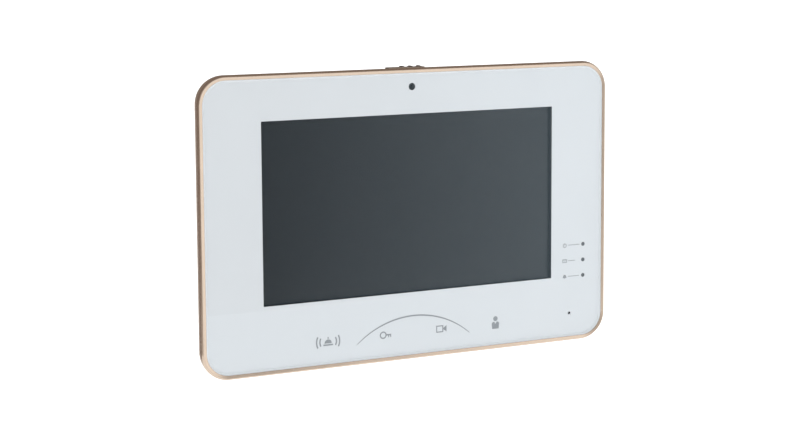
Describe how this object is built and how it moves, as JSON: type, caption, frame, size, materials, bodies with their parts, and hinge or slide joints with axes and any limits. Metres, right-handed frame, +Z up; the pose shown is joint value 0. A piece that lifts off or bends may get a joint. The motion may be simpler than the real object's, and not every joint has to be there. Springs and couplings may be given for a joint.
{
  "type": "video intercom monitor",
  "caption": "Flat wall-mounted video intercom monitor: white glass front with a wide dark screen and touch keys, gold metal trim, camera with a slide shutter, hook-on wall plate.",
  "frame": {"origin": "centre of the wall plate's box-screw pattern, on the wall plane", "axes": "+X to the viewer's right, +Y into the wall, +Z up; the screen faces -Y"},
  "size_m": [0.217, 0.026, 0.143],
  "materials": {
    "cover_glass": "clear, polished",
    "white_print": "opaque white print seen through glass",
    "touch_film": "clear film",
    "black_foam": "matt foam",
    "screen_glass": "dark, satin polariser",
    "tray_steel": "plain sheet steel",
    "gold_metal": "rose-gold anodised, satin",
    "slider_plastic": "dark brown, fine grain",
    "blade_plastic": "black",
    "carrier_plastic": "black, fine grain",
    "white_plastic": "white, fine spark texture",
    "zinc_steel": "zinc-plated",
    "screw_steel": "zinc-plated",
    "board_green": "solder mask",
    "chip_black": "moulded",
    "coil_grey": "pressed ferrite",
    "can_metal": "drawn can",
    "fin_metal": "natural",
    "jack_plastic": "black",
    "contact_gold": "gold-plated",
    "terminal_plastic": "green",
    "strip_film": "amber film",
    "socket_plastic": "ivory",
    "lens_glass": "coated",
    "lamp_clear": "clear moulded",
    "soft_rubber": "matt",
    "cone_paper": "treated paper",
    "magnet_metal": "nickel-plated"
  },
  "bodies": {
    "wall_mount": {"wall_plate": "zinc_steel", "lock_screw": "screw_steel"},
    "monitor": {"front_glass": "cover_glass", "ink_layer": "white_print", "touch_sensor": "touch_film", "screen_gasket": "black_foam", "lcd_panel": "screen_glass", "backlight_tray": "tray_steel", "trim_frame": "gold_metal", "slider_plinth": "gold_metal", "inner_carrier": "carrier_plastic", "rear_housing": "white_plastic", "housing_screws": "screw_steel", "board_screws": "screw_steel", "camera_screws": "screw_steel", "main_board": "board_green", "camera_board": "board_green", "touch_key_board": "board_green", "lamp_board": "board_green", "processor": "chip_black", "memory_chips": "chip_black", "storage_chip": "chip_black", "audio_chip": "chip_black", "network_transformer": "chip_black", "card_socket": "tray_steel", "power_coils": "coil_grey", "capacitors": "can_metal", "backup_cell": "can_metal", "heat_spreader": "fin_metal", "network_jack": "jack_plastic", "jack_contacts": "contact_gold", "door_terminal": "terminal_plastic", "power_terminal": "terminal_plastic", "key_strip": "strip_film", "screen_strip": "strip_film", "camera_strip": "strip_film", "strip_sockets": "socket_plastic", "camera_holder": "carrier_plastic", "camera_barrel": "blade_plastic", "camera_lens": "lens_glass", "indicator_lamps": "lamp_clear", "light_pipes": "lamp_clear", "lamp_shield": "carrier_plastic", "microphone_boot": "soft_rubber", "microphone": "can_metal", "speaker_gasket": "black_foam", "speaker_basket": "tray_steel", "speaker_cone": "cone_paper", "speaker_magnet": "magnet_metal", "wall_pads": "soft_rubber"},
    "shutter": {"shutter_knob": "slider_plastic", "shutter_blade": "blade_plastic"}
  },
  "joints": [
    {"name": "monitor_lift", "type": "slide", "parent": "wall_mount", "child": "monitor", "axis": [0, 0, 1], "range_m": [0, 0.006]},
    {"name": "shutter_slide", "type": "slide", "parent": "monitor", "child": "shutter", "axis": [1, 0, 0], "range_m": [-0.0065, 0]}
  ]
}
